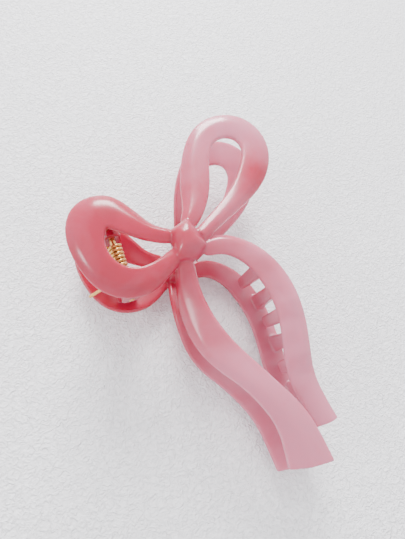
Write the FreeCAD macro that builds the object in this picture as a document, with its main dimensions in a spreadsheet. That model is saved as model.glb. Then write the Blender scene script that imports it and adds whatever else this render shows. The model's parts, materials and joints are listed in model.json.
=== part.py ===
import FreeCAD, Part
import math
import os
import Sketcher

from FreeCAD import Placement, Rotation, Vector

# Bow-shaped claw clip for hair. Two mirrored halves turn on a pin at their finger loops and a
# torsion spring holds them shut, with the teeth of one half between those of the other.
#
# Everything is drawn in the clip's own frame: origin at the middle of the hinge pin, Y along the
# pin, X from the pin towards the teeth, Z square to the plane between the halves. The finished
# pieces are then turned into the pose in which the closed clip lies on a table.

SHEET_VALUES = (
    ("band_width", 10.0, "width of a ribbon band where its factor is 1"),
    ("band_edge", 1.6, "thickness of a band along its edges"),
    ("band_rise", 1.7, "height of the ridge above the edges"),
    ("knot_length", 13.8, "knot, along the pin"),
    ("knot_width", 11.2, "knot, from pin to teeth"),
    ("knot_centre_x", 20.2, "apex of the knot, ahead of the pin"),
    ("knot_centre_y", -4.0, "apex of the knot, along the pin"),
    ("tooth_length_y", 5.8, "tooth at its root, along the tail"),
    ("tooth_depth_x", 3.8, "tooth at its root, across the tail"),
    ("tooth_taper", 0.62, "tip of a tooth, as a share of its root"),
    ("tooth_bow", 0.6, "how far the middle of a tooth stands out towards its tail's outer edge"),
    ("tooth_pitch", 16.4, "from one tooth to the next on the same half"),
    ("first_tooth_y", -18.0, "first tooth of the front half"),
    ("tip_gap", 1.6, "from a tooth's tip to the tail of the other half"),
    ("pin_radius", 1.0, "hinge pin"),
    ("pin_length", 27.6, "hinge pin"),
    ("running_gap", 0.05, "radial play of the front lugs on the pin"),
    ("lug_thickness", 2.4, "each lug, along the pin"),
    ("lug_width", 6.4, "each lug, and the eye at its end"),
    ("lug_reach", 13.2, "from the pin to the inside of a band"),
    ("front_lug_y", 12.4, "middle of a front lug"),
    ("rear_lug_y", 9.4, "middle of a rear lug"),
    ("wire_radius", 0.58, "spring wire"),
    ("coil_radius", 2.0, "spring, at the middle of its wire"),
    ("full_turns", 8.0, "whole turns of the coil, besides the part turn to its legs"),
    ("coil_pitch", 1.34, "spring"),
    ("leg_length", 15.8, "each leg of the spring"),
    ("leg_angle", 48.0, "each leg, up from the mid-plane"),
    ("rest_tilt", -0.67, "closed clip on a table, turned about the pin's direction"),
    ("rest_roll", 4.27, "closed clip on a table, turned about the line from pin to teeth"),
)

doc = FreeCAD.newDocument("ClawClip")
sheet = doc.addObject("Spreadsheet::Sheet", "Sheet")
for row, (alias, value, meaning) in enumerate(SHEET_VALUES, start=1):
    sheet.set("A%d" % row, alias)
    sheet.set("B%d" % row, str(value))
    sheet.set("C%d" % row, meaning)
    sheet.setAlias("B%d" % row, alias)
doc.recompute()

# A band is a row of stations: X, Y and Z of its middle, its width as a share of band_width, and
# its roll in degrees, which lowers the edge on the right of the direction of travel.
LEFT_LOOP = (
    (17.6, -1.4, 13.0, 0.46, 0.0),
    (13.4, 0.4, 13.0, 0.52, 8.0),
    (9.4, 2.8, 13.0, 0.64, 14.0),
    (6.4, 6.2, 13.0, 0.84, 15.0),
    (3.2, 9.6, 12.9, 1.04, 15.0),
    (-0.4, 12.6, 12.8, 1.08, 15.0),
    (-4.8, 13.4, 12.8, 1.12, 14.0),
    (-8.4, 9.6, 12.8, 1.14, 14.0),
    (-9.2, 3.6, 13.0, 1.02, 16.0),
    (-7.9, -2.0, 13.0, 0.98, 18.0),
    (-6.2, -6.6, 13.0, 1.00, 18.0),
    (-2.6, -10.2, 12.7, 1.00, 18.0),
    (2.2, -11.8, 12.5, 0.94, 18.0),
    (6.8, -11.5, 12.6, 0.80, 16.0),
    (11.2, -9.6, 12.9, 0.60, 10.0),
    (17.0, -6.6, 13.2, 0.48, 0.0),
)
UPPER_LOOP = (
    (21.6, 0.2, 12.8, 0.52, 0.0),
    (25.8, 4.6, 12.2, 0.66, -12.0),
    (29.0, 10.4, 10.9, 0.92, -15.0),
    (31.6, 17.2, 10.1, 1.04, -15.0),
    (34.2, 24.2, 9.4, 0.96, -14.0),
    (37.6, 30.4, 8.9, 0.90, -12.0),
    (42.2, 34.6, 8.7, 0.96, -9.0),
    (48.2, 36.2, 8.6, 1.08, -6.0),
    (54.6, 34.4, 8.6, 1.20, -5.0),
    (58.0, 29.2, 8.7, 1.24, -6.0),
    (57.8, 22.4, 9.2, 1.18, -8.0),
    (52.6, 14.4, 10.1, 1.06, -9.0),
    (44.6, 7.6, 11.4, 0.74, -9.0),
    (36.4, 2.8, 12.9, 0.56, -6.0),
    (25.0, -3.4, 14.2, 0.46, 0.0),
)
RIGHT_TAIL = (
    (23.4, -8.0, 13.0, 0.52, 0.0),
    (29.8, -7.0, 13.2, 0.68, -8.0),
    (35.2, -10.1, 13.6, 0.72, -8.0),
    (39.4, -14.8, 14.0, 0.78, -4.0),
    (42.2, -21.2, 14.4, 0.86, 0.0),
    (43.9, -29.0, 14.2, 0.86, 0.0),
    (43.7, -37.0, 13.2, 0.86, 0.0),
    (42.2, -45.0, 11.3, 0.88, 0.0),
    (40.8, -52.0, 9.4, 0.90, 0.0),
    (41.2, -59.0, 7.7, 0.84, 0.0),
    (43.9, -70.0, 6.0, 0.80, 0.0),
)
LEFT_TAIL = (
    (18.4, -9.0, 12.6, 0.56, 20.0),
    (17.0, -13.2, 11.0, 0.70, 36.0),
    (16.0, -20.6, 9.2, 0.92, 44.0),
    (16.1, -28.0, 9.8, 1.02, 40.0),
    (17.2, -34.6, 10.8, 1.04, 27.0),
    (20.0, -41.2, 11.8, 0.96, 13.0),
    (23.8, -47.0, 12.4, 0.84, 4.0),
    (27.2, -53.2, 12.2, 0.84, 0.0),
    (31.0, -60.6, 11.0, 0.96, 0.0),
    (33.2, -67.6, 9.5, 1.18, 0.0),
    (34.0, -78.7, 6.9, 1.44, 0.0),
)
# The rear half's left tail runs on a little further than the front one.
REAR_TAIL_END = (35.0, -82.0, 6.6, 1.48, 0.0)
# The knot is five-sided: X and Y of its corners about the apex, as shares of its half width and
# half length, and the height and share of each level.
KNOT_CORNERS = ((-0.68, 0.76), (0.48, 1.04), (1.0, -0.49), (0.11, -0.96), (-0.96, -0.78))
KNOT_LEVELS = ((6.6, 0.7), (9.4, 0.96), (13.6, 1.0), (15.4, 0.84), (18.2, 0.2))
# Root and tip of each tooth across the tail, and height of the tail there.
FRONT_TEETH = ((43.2, 41.4, 13.6), (46.0, 44.4, 13.0), (43.2, 42.0, 9.2))
REAR_TEETH = ((45.6, 43.8, 13.8), (45.0, 43.8, 11.4), (43.2, 41.8, 7.2))


UP = Vector(0, 0, 1)
HALVES = (("upper", 1), ("lower", -1))


def value(alias):
    return getattr(sheet, alias)


def section(name, place, corners):
    """Closed polygon sketch. Each corner is a pair of expressions, across and up."""
    sketch = doc.addObject("Sketcher::SketchObject", name)
    sketch.Placement = place
    count = len(corners)
    turns = [2 * math.pi * index / count for index in range(count)]
    start = [Vector(math.cos(turn), math.sin(turn), 0) for turn in turns]
    for index in range(count):
        sketch.addGeometry(Part.LineSegment(start[index], start[(index + 1) % count]), False)
    for index in range(count):
        sketch.addConstraint(Sketcher.Constraint("Coincident", index, 2, (index + 1) % count, 1))
    for index, (across, up) in enumerate(corners):
        for kind, size in (("DistanceX", across), ("DistanceY", up)):
            number = sketch.addConstraint(Sketcher.Constraint(kind, -1, 1, index, 1, 1.0))
            sketch.renameConstraint(number, "%s_%d" % (kind, index))
            sketch.setExpression("Constraints.%s_%d" % (kind, index), size)
    return sketch


def loft(name, sections):
    solid = doc.addObject("Part::Loft", name)
    solid.Sections = sections
    solid.Solid = True
    solid.Ruled = True
    return solid


def fuse(name, pieces):
    solid = doc.addObject("Part::MultiFuse", name)
    solid.Shapes = pieces
    return solid


def cylinder(name, radius, height, y_start):
    """Cylinder along the hinge axis."""
    solid = doc.addObject("Part::Cylinder", name)
    solid.Placement = Placement(Vector(), Rotation(Vector(1, 0, 0), -90))
    solid.setExpression("Radius", radius)
    solid.setExpression("Height", height)
    solid.setExpression("Placement.Base.y", y_start)
    return solid


def band(name, stations):
    """One ribbon: roof-shaped sections along its stations."""
    places = [Vector(*station[:3]) for station in stations]
    last = len(places) - 1
    sections = []
    for index, (x, y, z, factor, roll) in enumerate(stations):
        ahead = places[min(index + 1, last)] - places[max(index - 1, 0)]
        across = UP.cross(ahead).normalize()
        rise = ahead.cross(across).normalize()
        square = Rotation(across, rise, ahead, "ZXY")
        turned = square.multiply(Rotation(Vector(0, 0, 1), roll))
        side = "Sheet.band_width * %g" % (factor / 2)
        edge = "Sheet.band_edge / 2"
        corners = (
            ("-" + side, "-" + edge),
            (side, "-" + edge),
            (side, edge),
            ("0", edge + " + Sheet.band_rise"),
            ("-" + side, edge),
        )
        sections.append(section("%s_%02d" % (name, index), Placement(places[index], turned), corners))
    return loft(name, sections)


def knot():
    """Proud faceted knot in the middle of the bow."""
    sections = []
    for level, (height, share) in enumerate(KNOT_LEVELS):
        corners = [
            ("Sheet.knot_width / 2 * %g" % (across * share), "Sheet.knot_length / 2 * %g" % (along * share))
            for across, along in KNOT_CORNERS
        ]
        place = Placement(Vector(0, 0, height), Rotation())
        sketch = section("knot_%d" % level, place, corners)
        sketch.setExpression("Placement.Base.x", "Sheet.knot_centre_x")
        sketch.setExpression("Placement.Base.y", "Sheet.knot_centre_y")
        sections.append(sketch)
    return loft("knot", sections)


def tooth(name, y, side, root_x, tip_x, tail_z):
    """Tapered tooth from inside one tail to just short of the other; side is 1 or -1."""
    sections = []
    for step, share in enumerate((0.0, 0.5, 1.0)):
        bow = value("tooth_bow") * math.sin(math.pi * share)
        x = root_x + (tip_x - root_x) * share + bow
        taper = "(1 - %g * (1 - Sheet.tooth_taper))" % share
        across = "Sheet.tooth_depth_x / 2 * " + taper
        along = "Sheet.tooth_length_y / 2 * " + taper
        corners = (
            ("-" + across, "-" + along),
            (across, "-" + along),
            (across, along),
            ("-" + across, along),
        )
        sketch = section("%s_%d" % (name, step), Placement(Vector(x, 0, 0), Rotation()), corners)
        root_z = side * tail_z
        reach = "(%g - Sheet.band_edge / 2 - Sheet.tip_gap)" % (2 * tail_z)
        sketch.setExpression("Placement.Base.y", y)
        sketch.setExpression("Placement.Base.z", "%g - %g * %s" % (root_z, side * share, reach))
        sections.append(sketch)
    return loft(name, sections)


def lug(name, y_middle, side):
    """Ear under a finger loop, rounded about the pin."""
    y_start = "%s - Sheet.lug_thickness / 2" % y_middle
    post = doc.addObject("Part::Box", name + "_post")
    post.setExpression("Length", "Sheet.lug_width")
    post.setExpression("Width", "Sheet.lug_thickness")
    post.setExpression("Height", "Sheet.lug_reach")
    post.setExpression("Placement.Base.x", "-Sheet.lug_width / 2")
    post.setExpression("Placement.Base.y", y_start)
    post.setExpression("Placement.Base.z", "0" if side > 0 else "-Sheet.lug_reach")
    eye = cylinder(name + "_eye", "Sheet.lug_width / 2", "Sheet.lug_thickness", y_start)
    return [post, eye]


def lugs(half, alias, side):
    pieces = []
    for end, sign in HALVES:
        pieces += lug("%s_%s_lug" % (half, end), "%d * Sheet.%s" % (sign, alias), side)
    return pieces


def claw(half, bow, teeth, first_y, lug_alias, bore_radius, side):
    """One moulding: the bow's bands and knot, a row of teeth and two bored lugs."""
    pieces = [bow]
    for index, (root_x, tip_x, tail_z) in enumerate(teeth):
        y = "%s - %d * Sheet.tooth_pitch" % (first_y, index)
        pieces.append(tooth("%s_tooth_%d" % (half, index), y, side, root_x, tip_x, tail_z))
    pieces += lugs(half, lug_alias, side)
    moulding = fuse(half + "_moulding", pieces)
    bore = cylinder(half + "_bore", bore_radius, "2 * Sheet.pin_length", "-Sheet.pin_length")
    solid = doc.addObject("Part::Cut", half + "_claw")
    solid.Base = moulding
    solid.Tool = bore
    return solid


def bow_halves():
    """The front bow, and the rear one drawn in front of the mid-plane and mirrored behind it."""
    shared = [
        band("left_loop", LEFT_LOOP),
        band("upper_loop", UPPER_LOOP),
        band("right_tail", RIGHT_TAIL),
        knot(),
    ]
    front = fuse("front_bow", shared + [band("front_left_tail", LEFT_TAIL)])
    longer_tail = band("rear_left_tail", LEFT_TAIL[:-1] + (REAR_TAIL_END,))
    rear = doc.addObject("Part::Mirroring", "rear_bow")
    rear.Source = fuse("rear_bow_drawn", shared + [longer_tail])
    rear.Normal = UP
    return front, rear


def torsion_spring():
    """Coil about the pin whose two ends run straight to the finger loops."""
    lean = value("leg_angle")
    turns = value("full_turns") + (180 + 2 * lean) / 360
    length = turns * value("coil_pitch")
    start_turn = 270 - lean
    helix = doc.addObject("Part::Helix", "coil_line")
    helix.Height = length
    helix.setExpression("Pitch", "Sheet.coil_pitch")
    helix.setExpression("Radius", "Sheet.coil_radius")
    wire = doc.addObject("Part::Circle", "wire_section")
    wire.Placement = Placement(Vector(), Rotation(Vector(1, 0, 0), 90))
    wire.setExpression("Radius", "Sheet.wire_radius")
    wire.setExpression("Placement.Base.x", "Sheet.coil_radius")
    coil = doc.addObject("Part::Sweep", "coil")
    coil.Sections = [wire]
    coil.Spine = (helix, [])
    coil.Solid = True
    coil.Frenet = True
    along_pin = Rotation(Vector(1, 0, 0), -90)
    coil.Placement = Placement(
        Vector(0, -length / 2, 0), along_pin.multiply(Rotation(UP, start_turn)))
    pieces = [coil]
    for end, sign in HALVES:
        toward = Vector(-math.cos(math.radians(lean)), 0, sign * math.sin(math.radians(lean)))
        start = Vector(toward.z, 0, -toward.x).multiply(-sign * value("coil_radius"))
        start.y = sign * length / 2
        leg = doc.addObject("Part::Cylinder", end + "_leg")
        leg.Placement = Placement(start, Rotation(UP, toward))
        leg.setExpression("Radius", "Sheet.wire_radius")
        leg.setExpression("Height", "Sheet.leg_length")
        pieces.append(leg)
    return fuse("torsion_spring", pieces)


front_bow, rear_bow = bow_halves()
front_claw = claw(
    "front", front_bow, FRONT_TEETH, "Sheet.first_tooth_y", "front_lug_y",
    "Sheet.pin_radius + Sheet.running_gap", 1)
rear_claw = claw(
    "rear", rear_bow, REAR_TEETH, "Sheet.first_tooth_y - Sheet.tooth_pitch / 2", "rear_lug_y",
    "Sheet.pin_radius", -1)
hinge_pin = cylinder("hinge_pin", "Sheet.pin_radius", "Sheet.pin_length", "-Sheet.pin_length / 2")
spring = torsion_spring()
nodes = (front_claw, rear_claw, hinge_pin, spring)
doc.recompute()


def check(items):
    for item in items:
        if "Invalid" in item.State or "Error" in item.State:
            raise RuntimeError("%s did not compute: %s" % (item.Name, item.State))


check(doc.Objects)

# The closed clip lies on a table on its rear half. Its origin is under the middle of its box.
tilt = Rotation(Vector(0, 1, 0), value("rest_tilt"))
roll = Rotation(Vector(1, 0, 0), value("rest_roll"))
lying = roll.multiply(tilt)
turned = Part.makeCompound([node.Shape.copy() for node in nodes])
turned.Placement = Placement(Vector(), lying)
box = turned.BoundBox
foot = Vector(-box.Center.x, -box.Center.y, -box.ZMin)
rest = Placement(foot, lying)
for node in nodes:
    node.Placement = rest.multiply(node.Placement)

os.makedirs("parts", exist_ok=True)
for node in nodes:
    shape = node.Shape
    if shape.isNull() or not shape.isValid() or shape.Volume <= 0:
        raise RuntimeError(node.Label + " has no valid solid")
    shape.exportStep("parts/%s.step" % node.Label)
    size = shape.BoundBox
    print(node.Label, len(shape.Solids), round(shape.Volume, 1),
          [round(length, 1) for length in (size.XLength, size.YLength, size.ZLength)])
hinge = rest.multVec(Vector())
print("hinge at", [round(part, 4) for part in hinge])
print("hinge along", [round(part, 6) for part in rest.Rotation.multVec(Vector(0, 1, 0))])
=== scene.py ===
import json
import math

import bpy
from mathutils import Matrix, Vector


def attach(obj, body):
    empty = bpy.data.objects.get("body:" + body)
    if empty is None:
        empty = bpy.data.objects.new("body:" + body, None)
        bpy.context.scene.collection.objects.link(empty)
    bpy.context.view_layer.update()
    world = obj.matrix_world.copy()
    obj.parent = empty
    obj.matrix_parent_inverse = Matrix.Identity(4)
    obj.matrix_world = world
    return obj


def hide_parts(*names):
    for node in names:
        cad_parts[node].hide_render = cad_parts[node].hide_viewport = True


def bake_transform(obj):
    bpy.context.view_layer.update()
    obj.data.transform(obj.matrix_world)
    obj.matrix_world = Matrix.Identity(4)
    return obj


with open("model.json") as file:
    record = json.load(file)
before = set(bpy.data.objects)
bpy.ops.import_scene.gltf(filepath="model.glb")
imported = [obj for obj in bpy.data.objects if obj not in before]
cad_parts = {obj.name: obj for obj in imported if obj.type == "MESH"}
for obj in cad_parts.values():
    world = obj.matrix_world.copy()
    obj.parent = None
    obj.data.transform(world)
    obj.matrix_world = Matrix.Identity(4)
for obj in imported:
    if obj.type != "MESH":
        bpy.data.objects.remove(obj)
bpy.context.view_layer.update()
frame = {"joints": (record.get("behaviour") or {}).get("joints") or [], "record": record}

bl_info = {
    "name": "Bow claw clip",
    "version": (1, 0, 0),
    "blender": (4, 5, 0),
    "location": "View3D > Sidebar > Claw Clip",
    "description": "Builds a bow-shaped hair claw clip of cloudy jelly plastic",
    "category": "Add Mesh",
}

MM = 0.001
CORNER = 0.3 * MM
ROUND_SIDES = 48
# Size of the primitives that the bands and the knot are extruded from.
SEED_RADIUS = 2 * MM

# The clip's own frame: Y along the hinge pin, X from the pin to the teeth, Z square to the plane
# between the halves. Its origin is the middle of the pin.
HINGE = frame["joints"][0]
GRIP = frame["record"]["mounts"][0]
ALONG_PIN = -Vector(HINGE["axis"]).normalized()
TO_TEETH = Vector(GRIP["axis"])
TO_TEETH = (TO_TEETH - ALONG_PIN * TO_TEETH.dot(ALONG_PIN)).normalized()
SQUARE = TO_TEETH.cross(ALONG_PIN)
CLIP = Matrix.Translation(Vector(HINGE["pos_m"])) @ Matrix(
    (TO_TEETH, ALONG_PIN, SQUARE)).transposed().to_4x4()

# Each band is a row of stations in millimetres in the clip's frame: X, Y, Z, half width, roll in
# degrees, and where the ridge lies across the band, from -1 to 1.
FINGER_LOOP = (
    (17.6, -1.4, 13.0, 2.3, 0, -0.2),
    (13.4, 0.4, 13.0, 2.6, 8, -0.2),
    (9.4, 2.8, 13.0, 3.2, 14, -0.2),
    (6.4, 6.2, 13.0, 4.2, 15, -0.2),
    (3.2, 9.6, 12.9, 5.2, 15, -0.2),
    (-0.6, 13.8, 12.8, 6.8, 15, -0.2),
    (-4.8, 13.2, 12.8, 7.6, 14, -0.2),
    (-8.0, 8.8, 12.8, 6.5, 14, -0.2),
    (-8.7, 2.8, 13.0, 5.3, 16, -0.2),
    (-7.9, -2.0, 13.0, 4.9, 18, -0.2),
    (-6.2, -6.6, 13.0, 5.0, 18, -0.2),
    (-2.6, -10.2, 12.7, 5.0, 18, -0.2),
    (2.2, -11.8, 12.5, 4.7, 18, -0.2),
    (6.8, -11.5, 12.6, 4.0, 16, -0.2),
    (11.2, -9.6, 12.9, 3.0, 10, -0.2),
    (17.0, -6.6, 13.2, 2.4, 0, -0.2),
)
UPPER_LOOP = (
    (21.6, 0.2, 12.8, 2.6, 0, 0.1),
    (25.8, 4.6, 12.2, 3.3, -12, 0.1),
    (29.0, 10.4, 10.9, 4.6, -15, 0.1),
    (31.6, 17.2, 10.1, 5.2, -15, 0.1),
    (34.2, 24.2, 9.4, 4.8, -14, 0.1),
    (37.6, 30.4, 8.9, 4.5, -12, 0.1),
    (42.2, 34.6, 8.7, 4.8, -9, 0.1),
    (48.2, 36.2, 8.6, 5.1, -6, 0.1),
    (54.6, 34.4, 8.6, 5.7, -5, 0.1),
    (58.0, 29.2, 8.7, 5.9, -6, 0.1),
    (57.8, 22.4, 9.2, 5.6, -8, 0.1),
    (52.6, 14.4, 10.1, 5.3, -9, 0.1),
    (44.6, 7.6, 11.4, 3.7, -9, 0.1),
    (36.4, 2.8, 12.9, 2.8, -6, 0.1),
    (25.0, -3.4, 14.2, 2.3, 0, 0.1),
)
RIGHT_TAIL = (
    (23.4, -8.0, 13.0, 2.6, 0, 0.2),
    (29.8, -7.0, 13.2, 3.4, -8, 0.2),
    (35.2, -10.1, 13.6, 3.6, -8, 0.2),
    (39.4, -14.8, 14.0, 3.9, -4, 0.2),
    (42.2, -21.2, 14.4, 4.3, 0, 0.2),
    (43.9, -29.0, 14.2, 4.3, 0, 0.2),
    (43.7, -37.0, 13.2, 4.3, 0, 0.2),
    (42.2, -45.0, 11.3, 4.4, 0, 0.2),
    (40.8, -52.0, 9.4, 4.5, 0, 0.2),
    (41.2, -59.0, 7.7, 4.2, 0, 0.2),
    (43.9, -70.0, 6.0, 4.0, 0, 0.2),
)
LEFT_TAIL = (
    (18.4, -9.0, 12.6, 2.8, 20, -0.3),
    (17.0, -13.2, 11.0, 3.5, 36, -0.3),
    (16.0, -20.6, 9.2, 4.6, 44, -0.3),
    (16.1, -28.0, 9.8, 5.1, 40, -0.3),
    (17.2, -34.6, 10.8, 5.2, 27, -0.3),
    (20.0, -41.2, 11.8, 4.8, 13, -0.3),
    (23.8, -47.0, 12.4, 4.2, 4, -0.1),
    (27.2, -53.2, 12.2, 4.2, 0, -0.1),
    (31.0, -60.6, 11.0, 4.8, 0, -0.1),
    (33.2, -67.6, 9.5, 5.9, 0, -0.1),
    (34.0, -78.7, 6.9, 7.2, 0, -0.1),
)
# The rear half's left tail runs on a little further than the front one.
REAR_TAIL_END = (35.0, -82.0, 6.6, 7.4, 0, -0.1)
# How far each tail's end cut leans, as a share of the way across the band.
RIGHT_TAIL_SLANT = 0.25
LEFT_TAIL_SLANT = 0.32
# Half width of a ridge's soft top as a share of the band's, and heights as shares of the ridge's.
RIDGE_TOP_SHARE = 0.16
RIDGE_TOP_HEIGHT = 0.97
RIDGE_FLANK_HEIGHT = 0.62

# Place of each tooth's root and tip across the clip, and height of the tail there.
FRONT_TEETH = ((43.2, 41.4, 13.6), (46.0, 44.4, 13.0), (43.2, 42.0, 9.2))
REAR_TEETH = ((45.6, 43.8, 13.8), (45.0, 43.8, 11.4), (43.2, 41.8, 7.2))
FIRST_TOOTH_Y = -18.0
TOOTH_PITCH = 16.4
TOOTH_ACROSS = 3.8
TOOTH_ALONG = 5.8
TOOTH_TIP_SHARE = 0.72
# A tip ends this far short of the height that mirrors its root.
TOOTH_SHORT = 2.4
TOOTH_ROUNDING = 0.8

# The knot: its five corners and apex across the clip, and rings of height and share of the corners.
KNOT_CORNERS = ((16.4, 1.2), (23.2, 3.6), (26.6, -7.6), (20.8, -10.6), (14.8, -9.4))
KNOT_APEX = (20.2, -4.0)
KNOT_STEPS = ((6.6, 0.7), (9.4, 0.96), (13.6, 1.0), (15.8, 0.86), (18.0, 0.36))
KNOT_ROUNDING = 1.1

# The lugs, the pin and the spring, in millimetres and degrees. Lug places are along the pin.
FRONT_LUG_Y = 12.4
REAR_LUG_Y = 9.4
LUG_THICKNESS = 2.4
LUG_WIDTH = 6.4
LUG_REACH = 13.2
EDGE_ROUNDING = 0.25
PIN_LENGTH = 27.6
PIN_CLEARANCE = 0.05
DRILL_LENGTH = 40.0

COIL_RADIUS = 2.0
COIL_PITCH = 1.34
LEG_ANGLE = 48.0
LEG_LENGTH = 15.8
COIL_TURNS = 8 + (180 + 2 * LEG_ANGLE) / 360
COIL_LENGTH = COIL_TURNS * COIL_PITCH
STEPS_PER_TURN = 24
LEG_STEPS = 8

# Deeper colour, in millimetres in the clip's frame: centre and the radius that it fades out over.
BOW_TINT = ((4, 0, 6), 58)
STRAND_TINT = ((55, 14, 8), 20)
STRAND_SHARE = 0.75
CLOUD_SHARE = 0.5
# Painted shade: the plastic is painted deeper from the first height to the second one, above the
# floor, standing in for the shade on the rear half beneath the front one.
SHADE_HEIGHTS = (28, 8)
PAINTED_SHADE_TINT = 0.14

# Place, size and power of each lamp, in metres and watts.
SKY_LAMP = ((0.25, 0.95, 0.5), 0.5, 28.0)
WINDOW_LAMP = ((-0.6, 0.12, 0.4), 0.16, 1.5)
ROOM_COLOUR = (0.93, 0.93, 0.96, 1)
ROOM_STRENGTH = 1.85
FLOOR_SIZE = 3

# The camera in the clip's frame: its right, its down and its place in millimetres.
CAMERA_RIGHT = (0.9187, -0.3469, 0.189)
CAMERA_DOWN = (-0.286, -0.9141, -0.2876)
CAMERA_PLACE = (-11.4, -39.6, 128.4)
SENSOR_WIDTH = 36
LENS = 35.556


class ClipSizes(bpy.types.PropertyGroup):
    """Sizes that a user would change, in metres."""
    edge: bpy.props.FloatProperty(
        name="Band edge", description="Thickness of a band along its edges",
        default=2.0 * MM, unit="LENGTH")
    ridge: bpy.props.FloatProperty(
        name="Ridge", description="Height of a band's ridge above its edges",
        default=1.1 * MM, unit="LENGTH")
    fineness: bpy.props.FloatProperty(
        name="Fineness", description="Size of the mesh cells of the mouldings",
        default=0.37 * MM, unit="LENGTH")
    wire: bpy.props.FloatProperty(
        name="Wire radius", description="Radius of the spring wire", default=0.58 * MM,
        unit="LENGTH")
    pin: bpy.props.FloatProperty(
        name="Pin radius", description="Radius of the hinge pin", default=1.0 * MM, unit="LENGTH")


class ClipColours(bpy.types.PropertyGroup):
    """Colours of the plastic, the wire and the floor."""
    # Deep rose is also the colour that the painted shade on the lower parts moves towards.
    deep: bpy.props.FloatVectorProperty(
        name="Deep rose", description="Plastic near the knot and the finger loops",
        default=(0.50, 0.012, 0.055), subtype="COLOR", size=3)
    pale: bpy.props.FloatVectorProperty(
        name="Pale pink", description="Plastic at the tails and the upper loop",
        default=(0.72, 0.25, 0.35), subtype="COLOR", size=3)
    gold: bpy.props.FloatVectorProperty(
        name="Gold", description="Plated wire of the spring and the pin",
        default=(0.83, 0.49, 0.17), subtype="COLOR", size=3)
    floor: bpy.props.FloatVectorProperty(
        name="Floor", description="Pale floor", default=(0.93, 0.92, 0.94), subtype="COLOR",
        size=3)


def deselect():
    if bpy.context.object and bpy.context.object.mode != "OBJECT":
        bpy.ops.object.mode_set(mode="OBJECT")
    bpy.ops.object.select_all(action="DESELECT")


def only(piece):
    deselect()
    piece.select_set(True)
    bpy.context.view_layer.objects.active = piece
    return piece


def modify(piece, kind, **settings):
    """Adds a modifier, sets it up and applies it."""
    only(piece)
    modifier = piece.modifiers.new(kind.title(), kind)
    for name, value in settings.items():
        setattr(modifier, name, value)
    bpy.ops.object.modifier_apply(modifier=modifier.name)
    return piece


def join(pieces, name):
    deselect()
    for piece in pieces:
        piece.select_set(True)
    bpy.context.view_layer.objects.active = pieces[0]
    bpy.ops.object.join()
    pieces[0].name = name
    return pieces[0]


def outward(piece):
    only(piece)
    bpy.ops.object.mode_set(mode="EDIT")
    bpy.ops.mesh.select_all(action="SELECT")
    bpy.ops.mesh.remove_doubles(threshold=1e-6)
    bpy.ops.mesh.normals_make_consistent(inside=False)
    bpy.ops.object.mode_set(mode="OBJECT")
    return piece


def profile(half_width, rise, ridge, edge):
    """Ring of points across a band: flat inside face, crisp edges and a soft ridge outside."""
    low = -edge / 2
    crest = half_width * ridge
    soft = half_width * RIDGE_TOP_SHARE
    rim = half_width - CORNER
    wall = edge / 2 - CORNER
    flank = rise * RIDGE_FLANK_HEIGHT - low
    top = rise * RIDGE_TOP_HEIGHT - low
    return (
        (-rim, low), (0.0, low), (rim, low),
        (half_width, -wall), (half_width, wall), (rim, -low),
        ((half_width + crest) / 2, flank), (crest + soft, top),
        (crest - soft, top), ((crest - half_width) / 2, flank),
        (-rim, -low), (-half_width, wall), (-half_width, -wall),
    )


def station_frame(places, index):
    """Across, up and ahead at one station."""
    last = len(places) - 1
    ahead = (places[min(index + 1, last)] - places[max(index - 1, 0)]).normalized()
    across = Vector((0, 0, 1)).cross(ahead).normalized()
    return across, ahead.cross(across), ahead


def place_ring(piece, indices, points):
    for index, point in zip(indices, points):
        piece.data.vertices[index].co = point


def band(name, stations, edge, rise, slant=0.0):
    """A ribbon extruded from station to station and smoothed; slant leans its end cut."""
    places = [Vector(station[:3]) * MM for station in stations]
    rings = []
    for index, (_, _, _, half_width, roll, ridge) in enumerate(stations):
        across, up, ahead = station_frame(places, index)
        turn = Matrix.Rotation(math.radians(roll), 3, ahead)
        lean = slant if index == len(stations) - 1 else 0.0
        across, up = turn @ across, turn @ up
        rings.append([places[index] + across * x + up * y + ahead * lean * x
                      for x, y in profile(half_width * MM, rise, ridge, edge)])
    rings.insert(-1, [point - ahead * CORNER for point in rings[-1]])
    count = len(rings[0])
    deselect()
    bpy.ops.mesh.primitive_circle_add(vertices=count, radius=SEED_RADIUS, fill_type="NGON")
    piece = bpy.context.object
    piece.name = name
    place_ring(piece, range(count), rings[0])
    for ring in rings[1:]:
        bpy.ops.object.mode_set(mode="EDIT")
        bpy.ops.mesh.extrude_region_move()
        bpy.ops.object.mode_set(mode="OBJECT")
        chosen = [vertex.index for vertex in piece.data.vertices if vertex.select]
        place_ring(piece, chosen, ring)
    bpy.ops.object.mode_set(mode="EDIT")
    bpy.ops.mesh.inset(thickness=CORNER)
    bpy.ops.mesh.select_all(action="SELECT")
    bpy.ops.mesh.normals_make_consistent(inside=False)
    bpy.ops.object.mode_set(mode="OBJECT")
    return modify(piece, "SUBSURF", levels=2, render_levels=2)


def bow_knot():
    """Proud faceted knot: a five-sided dome about KNOT_APEX."""
    apex = Vector(KNOT_APEX)
    deselect()
    bpy.ops.mesh.primitive_circle_add(
        vertices=len(KNOT_CORNERS), radius=SEED_RADIUS, fill_type="NGON")
    piece = bpy.context.object
    piece.name = "knot"
    for step, (height, share) in enumerate(KNOT_STEPS):
        if step:
            bpy.ops.object.mode_set(mode="EDIT")
            bpy.ops.mesh.extrude_region_move()
            bpy.ops.object.mode_set(mode="OBJECT")
        chosen = [vertex.index for vertex in piece.data.vertices if vertex.select]
        ring = [apex.lerp(Vector(corner), share).to_3d() + Vector((0, 0, height))
                for corner in KNOT_CORNERS]
        place_ring(piece, chosen, [point * MM for point in ring])
    outward(piece)
    return modify(piece, "BEVEL", width=KNOT_ROUNDING * MM, segments=3,
                  limit_method="NONE")


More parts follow.
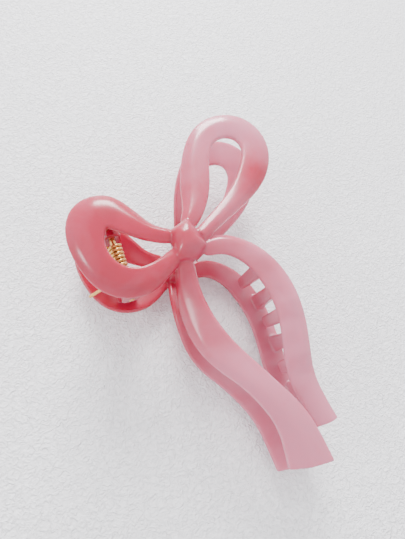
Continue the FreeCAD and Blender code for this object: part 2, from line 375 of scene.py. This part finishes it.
def tooth(y, side, root_x, tip_x, tail_z):
    """A tapered, rounded tooth from inside one tail to just short of the other."""
    tip_z = -(tail_z - TOOTH_SHORT)
    deselect()
    bpy.ops.mesh.primitive_cube_add(size=1)
    piece = bpy.context.object
    piece.name = "tooth"
    for vertex in piece.data.vertices:
        at_tip = vertex.co.z < 0
        share = TOOTH_TIP_SHARE if at_tip else 1.0
        vertex.co = Vector((
            (tip_x if at_tip else root_x) + vertex.co.x * TOOTH_ACROSS * share,
            y + vertex.co.y * TOOTH_ALONG * share,
            side * (tip_z if at_tip else tail_z),
        )) * MM
    outward(piece)
    return modify(piece, "BEVEL", width=TOOTH_ROUNDING * MM, segments=3)


def lug(y, side):
    """An ear under a finger loop, rounded about the pin."""
    deselect()
    bpy.ops.mesh.primitive_cylinder_add(
        vertices=ROUND_SIDES, radius=LUG_WIDTH / 2 * MM, depth=LUG_THICKNESS * MM,
        location=(0, y * MM, 0), rotation=(math.pi / 2, 0, 0))
    eye = bpy.context.object
    bpy.ops.mesh.primitive_cube_add(size=1, location=(0, y * MM, side * LUG_REACH / 2 * MM))
    post = bpy.context.object
    post.scale = (LUG_WIDTH * MM, LUG_THICKNESS * MM, LUG_REACH * MM)
    for piece in (eye, post):
        only(piece)
        bpy.ops.object.transform_apply()
        modify(piece, "BEVEL", width=EDGE_ROUNDING * MM, segments=2, limit_method="ANGLE")
    return [eye, post]


def bore(piece, radius):
    """Drills the lugs along the hinge."""
    deselect()
    bpy.ops.mesh.primitive_cylinder_add(
        vertices=ROUND_SIDES, radius=radius, depth=DRILL_LENGTH * MM, rotation=(math.pi / 2, 0, 0))
    drill = bpy.context.object
    bpy.ops.object.transform_apply()
    modify(piece, "BOOLEAN", object=drill, operation="DIFFERENCE", solver="EXACT")
    bpy.data.objects.remove(drill)
    return piece


def into_row_frame(piece):
    piece.matrix_world = CLIP
    only(piece)
    bpy.ops.object.transform_apply()
    return piece


def claw(name, side, teeth, first_y, lug_y, sizes):
    """One moulding; side is 1 for the front half and -1 for the rear."""
    left_tail = LEFT_TAIL if side > 0 else LEFT_TAIL[:-1] + (REAR_TAIL_END,)
    pieces = [
        band("finger_loop", FINGER_LOOP, sizes.edge, sizes.ridge),
        band("upper_loop", UPPER_LOOP, sizes.edge, sizes.ridge),
        band("right_tail", RIGHT_TAIL, sizes.edge, sizes.ridge, RIGHT_TAIL_SLANT),
        band("left_tail", left_tail, sizes.edge, sizes.ridge, LEFT_TAIL_SLANT),
        bow_knot(),
    ]
    bow = join(pieces, name)
    if side < 0:
        bow.scale.z = -1
        only(bow)
        bpy.ops.object.transform_apply()
        outward(bow)
    extra = [tooth(first_y - index * TOOTH_PITCH, side, *numbers)
             for index, numbers in enumerate(teeth)]
    for end in (1, -1):
        extra += lug(end * lug_y, side)
    piece = join([bow] + extra, name)
    modify(piece, "REMESH", mode="VOXEL", voxel_size=sizes.fineness)
    modify(piece, "SMOOTH", factor=0.5, iterations=3)
    bore(piece, sizes.pin + PIN_CLEARANCE * MM)
    bpy.ops.object.shade_smooth()
    return into_row_frame(piece)


def node_tree(name):
    material = bpy.data.materials.new(name)
    material.use_nodes = True
    nodes = material.node_tree.nodes
    nodes.clear()
    output = nodes.new("ShaderNodeOutputMaterial")
    shader = nodes.new("ShaderNodeBsdfPrincipled")
    material.node_tree.links.new(shader.outputs[0], output.inputs["Surface"])
    return material, nodes, material.node_tree.links, shader


def settle(node, values):
    """Sets a node's own sockets by name."""
    for name, value in values.items():
        node.inputs[name].default_value = value


def noise(nodes, links, place, **values):
    """Noise on Object coordinates."""
    pattern = nodes.new("ShaderNodeTexNoise")
    settle(pattern, {name.title(): value for name, value in values.items()})
    links.new(place.outputs["Object"], pattern.inputs["Vector"])
    return pattern


def tone(nodes, links, amount, shader, low, high):
    """Colours the shader along an amount; low and high are each a position and a colour."""
    ramp = nodes.new("ShaderNodeValToRGB")
    for stop, (position, colour) in zip(ramp.color_ramp.elements, (low, high)):
        stop.position = position
        stop.color = (*colour, 1)
    links.new(amount, ramp.inputs["Fac"])
    links.new(ramp.outputs["Color"], shader.inputs["Base Color"])


def deepening(nodes, links, place, centre, radius):
    """A tint that fades from a point of the clip out to a radius, both in millimetres."""
    centred = nodes.new("ShaderNodeMapping")
    centred.vector_type = "TEXTURE"
    settle(centred, {"Location": CLIP @ (Vector(centre) * MM), "Scale": [radius * MM] * 3})
    links.new(place.outputs["Object"], centred.inputs["Vector"])
    fall = nodes.new("ShaderNodeTexGradient")
    fall.gradient_type = "SPHERICAL"
    links.new(centred.outputs["Vector"], fall.inputs["Vector"])
    return fall


def jelly_pink(colours):
    """Cloudy translucent plastic, deeper at the finger loops and the knot, with painted shade
    deepening its lower parts.
    """
    material, nodes, links, shader = node_tree("jelly_pink")
    place = nodes.new("ShaderNodeTexCoord")
    bow = deepening(nodes, links, place, *BOW_TINT)
    strand = deepening(nodes, links, place, *STRAND_TINT)
    fall = nodes.new("ShaderNodeMath")
    fall.operation = "MULTIPLY_ADD"
    fall.inputs[1].default_value = STRAND_SHARE
    links.new(strand.outputs["Fac"], fall.inputs[0])
    links.new(bow.outputs["Fac"], fall.inputs[2])
    cloud = noise(nodes, links, place, scale=75, detail=3, distortion=0.6)
    apart = nodes.new("ShaderNodeSeparateXYZ")
    links.new(place.outputs["Object"], apart.inputs["Vector"])
    # Painted shade: deepens the plastic towards the floor, where the rear half lies under the front
    # one.
    painted_shade = nodes.new("ShaderNodeMapRange")
    high, low = SHADE_HEIGHTS
    settle(painted_shade, {"From Min": high * MM, "From Max": low * MM, "To Max": PAINTED_SHADE_TINT})
    links.new(apart.outputs["Z"], painted_shade.inputs["Value"])
    # The colour tints of the bow and the strand plus the painted shade.
    depth = nodes.new("ShaderNodeMath")
    links.new(fall.outputs[0], depth.inputs[0])
    links.new(painted_shade.outputs["Result"], depth.inputs[1])
    blend = nodes.new("ShaderNodeMath")
    blend.operation = "MULTIPLY_ADD"
    blend.inputs[1].default_value = CLOUD_SHARE
    links.new(cloud.outputs["Fac"], blend.inputs[0])
    links.new(depth.outputs[0], blend.inputs[2])
    tone(nodes, links, blend.outputs[0], shader, (0.3, colours.pale), (1.0, colours.deep))
    settle(shader, {
        "Roughness": 0.24,
        "IOR": 1.5,
        "Subsurface Weight": 0.75,
        "Subsurface Radius": (1.0, 0.35, 0.4),
        "Subsurface Scale": 3.5 * MM,
        "Transmission Weight": 0.32,
        "Coat Weight": 0.12,
        "Coat Roughness": 0.06,
    })
    return material


def plated_gold(colours):
    """Bright plated wire with faint drawing marks."""
    material, nodes, links, shader = node_tree("spring_gold")
    place = nodes.new("ShaderNodeTexCoord")
    marks = noise(nodes, links, place, scale=900, detail=4)
    shade = [part * 0.8 for part in colours.gold]
    tone(nodes, links, marks.outputs["Fac"], shader, (0.3, shade), (0.7, colours.gold))
    rough = nodes.new("ShaderNodeMapRange")
    settle(rough, {"To Min": 0.2, "To Max": 0.34})
    links.new(marks.outputs["Fac"], rough.inputs["Value"])
    links.new(rough.outputs["Result"], shader.inputs["Roughness"])
    shader.inputs["Metallic"].default_value = 1.0
    return material


def textured_floor(colours):
    """Pale painted surface with a fine leather-like grain."""
    material, nodes, links, shader = node_tree("pale_floor")
    place = nodes.new("ShaderNodeTexCoord")
    grain = noise(nodes, links, place, scale=620, detail=2, distortion=1.4)
    bump = nodes.new("ShaderNodeBump")
    settle(bump, {"Strength": 1.0, "Distance": 0.9 * MM})
    links.new(grain.outputs["Fac"], bump.inputs["Height"])
    links.new(bump.outputs["Normal"], shader.inputs["Normal"])
    shade = [part * 0.9 for part in colours.floor]
    tone(nodes, links, grain.outputs["Fac"], shader, (0.35, shade), (0.6, colours.floor))
    shader.inputs["Roughness"].default_value = 0.55
    return material


class CLIP_OT_claws(bpy.types.Operator):
    """Model both mouldings of the clip"""
    bl_idname = "claw_clip.claws"
    bl_label = "Claws"

    def execute(self, context):
        sizes = context.scene.clip_sizes
        plastic = jelly_pink(context.scene.clip_colours)
        front = claw("front_claw_shell", 1, FRONT_TEETH, FIRST_TOOTH_Y, FRONT_LUG_Y, sizes)
        rear = claw("rear_claw_shell", -1, REAR_TEETH, FIRST_TOOTH_Y - TOOTH_PITCH / 2,
                    REAR_LUG_Y, sizes)
        for piece, body, node in ((front, "front_half", "front_claw"),
                                  (rear, "rear_half", "rear_claw")):
            piece.data.materials.clear()
            piece.data.materials.append(plastic)
            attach(piece, body)
            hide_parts(node)
        return {"FINISHED"}


class CLIP_OT_hinge_pin(bpy.types.Operator):
    """Model the pin through the lugs"""
    bl_idname = "claw_clip.hinge_pin"
    bl_label = "Hinge pin"

    def execute(self, context):
        sizes = context.scene.clip_sizes
        deselect()
        bpy.ops.mesh.primitive_cylinder_add(
            vertices=ROUND_SIDES, radius=sizes.pin, depth=PIN_LENGTH * MM,
            rotation=(math.pi / 2, 0, 0))
        piece = bpy.context.object
        piece.name = "hinge_pin_turned"
        bpy.ops.object.transform_apply()
        modify(piece, "BEVEL", width=EDGE_ROUNDING * MM, segments=3, limit_method="ANGLE")
        bpy.ops.object.shade_smooth_by_angle(angle=math.radians(40))
        into_row_frame(piece)
        piece.data.materials.clear()
        piece.data.materials.append(plated_gold(context.scene.clip_colours))
        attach(piece, "rear_half")
        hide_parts("hinge_pin")
        return {"FINISHED"}


class CLIP_OT_torsion_spring(bpy.types.Operator):
    """Wind the torsion spring about the pin"""
    bl_idname = "claw_clip.torsion_spring"
    bl_label = "Torsion spring"

    def execute(self, context):
        # Both legs leave the coil on its tangents.
        lean = math.radians(LEG_ANGLE)
        first = 1.5 * math.pi - lean
        steps = round(COIL_TURNS * STEPS_PER_TURN)
        route = []
        for step in range(steps + 1):
            turn = first + 2 * math.pi * COIL_TURNS * step / steps
            along = COIL_LENGTH * (step / steps - 0.5)
            route.append(Vector((math.cos(turn) * COIL_RADIUS, along,
                                 -math.sin(turn) * COIL_RADIUS)) * MM)
        low = Vector((-math.cos(lean), 0, -math.sin(lean))) * LEG_LENGTH * MM
        high = Vector((-math.cos(lean), 0, math.sin(lean))) * LEG_LENGTH * MM
        route = ([route[0] + low * (1 - step / LEG_STEPS) for step in range(LEG_STEPS)] + route
                 + [route[-1] + high * (step + 1) / LEG_STEPS for step in range(LEG_STEPS)])
        deselect()
        bpy.ops.curve.primitive_nurbs_path_add()
        line = bpy.context.object
        line.name = "torsion_spring_wire"
        line.data.splines.clear()
        spline = line.data.splines.new("POLY")
        spline.points.add(len(route) - 1)
        for point, place in zip(spline.points, route):
            point.co = (*place, 1)
        line.data.bevel_depth = context.scene.clip_sizes.wire
        line.data.bevel_resolution = 5
        line.data.use_fill_caps = True
        only(line)
        bpy.ops.object.convert(target="MESH")
        piece = outward(bpy.context.object)
        bpy.ops.object.shade_smooth_by_angle(angle=math.radians(50))
        into_row_frame(piece)
        piece.data.materials.clear()
        piece.data.materials.append(plated_gold(context.scene.clip_colours))
        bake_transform(piece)
        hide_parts("torsion_spring")
        return {"FINISHED"}


class CLIP_OT_stage(bpy.types.Operator):
    """Lay the floor, place the lights and the camera"""
    bl_idname = "claw_clip.stage"
    bl_label = "Stage"

    def execute(self, context):
        deselect()
        bpy.ops.mesh.primitive_plane_add(size=FLOOR_SIZE)
        floor = bpy.context.object
        floor.name = "floor"
        floor.data.materials.append(textured_floor(context.scene.clip_colours))
        soft_light("sky", *SKY_LAMP)
        soft_light("window", *WINDOW_LAMP)
        world = bpy.data.worlds.new("room")
        world.use_nodes = True
        settle(world.node_tree.nodes["Background"],
               {"Color": ROOM_COLOUR, "Strength": ROOM_STRENGTH})
        context.scene.world = world
        place_camera()
        return {"FINISHED"}


def soft_light(name, location, size, power):
    deselect()
    bpy.ops.object.light_add(type="AREA", location=location)
    lamp = bpy.context.object
    lamp.name = name
    lamp.data.size = size
    lamp.data.energy = power
    lamp.rotation_euler = (-Vector(location)).to_track_quat("-Z", "Y").to_euler()


def place_camera():
    """A camera held close above the clip."""
    deselect()
    bpy.ops.object.camera_add()
    camera = bpy.context.object
    right = Vector(CAMERA_RIGHT)
    down = Vector(CAMERA_DOWN)
    ahead = right.cross(down)
    turned = Matrix((right, -down, -ahead)).transposed().to_4x4()
    camera.matrix_world = CLIP @ Matrix.Translation(Vector(CAMERA_PLACE) * MM) @ turned
    camera.data.sensor_fit = "HORIZONTAL"
    camera.data.sensor_width = SENSOR_WIDTH
    camera.data.lens = LENS
    camera.data.clip_start = 0.005
    bpy.context.scene.camera = camera


class CLIP_PT_panel(bpy.types.Panel):
    """Lists the steps that build the clip"""
    bl_idname = "CLIP_PT_panel"
    bl_label = "Claw Clip"
    bl_space_type = "VIEW_3D"
    bl_region_type = "UI"
    bl_category = "Claw Clip"

    def draw(self, context):
        for operator in OPERATORS:
            self.layout.operator(operator.bl_idname)
        for group in (context.scene.clip_sizes, context.scene.clip_colours):
            for name in group.__annotations__:
                self.layout.prop(group, name)


OPERATORS = (CLIP_OT_claws, CLIP_OT_hinge_pin, CLIP_OT_torsion_spring, CLIP_OT_stage)
CLASSES = (ClipSizes, ClipColours) + OPERATORS + (CLIP_PT_panel,)


def register():
    for item in CLASSES:
        bpy.utils.register_class(item)
    bpy.types.Scene.clip_sizes = bpy.props.PointerProperty(type=ClipSizes)
    bpy.types.Scene.clip_colours = bpy.props.PointerProperty(type=ClipColours)


def unregister():
    del bpy.types.Scene.clip_colours
    del bpy.types.Scene.clip_sizes
    for item in reversed(CLASSES):
        bpy.utils.unregister_class(item)


def main():
    register()
    bpy.ops.claw_clip.claws()
    bpy.ops.claw_clip.hinge_pin()
    bpy.ops.claw_clip.torsion_spring()
    bpy.ops.claw_clip.stage()


if __name__ == "__main__":
    main()
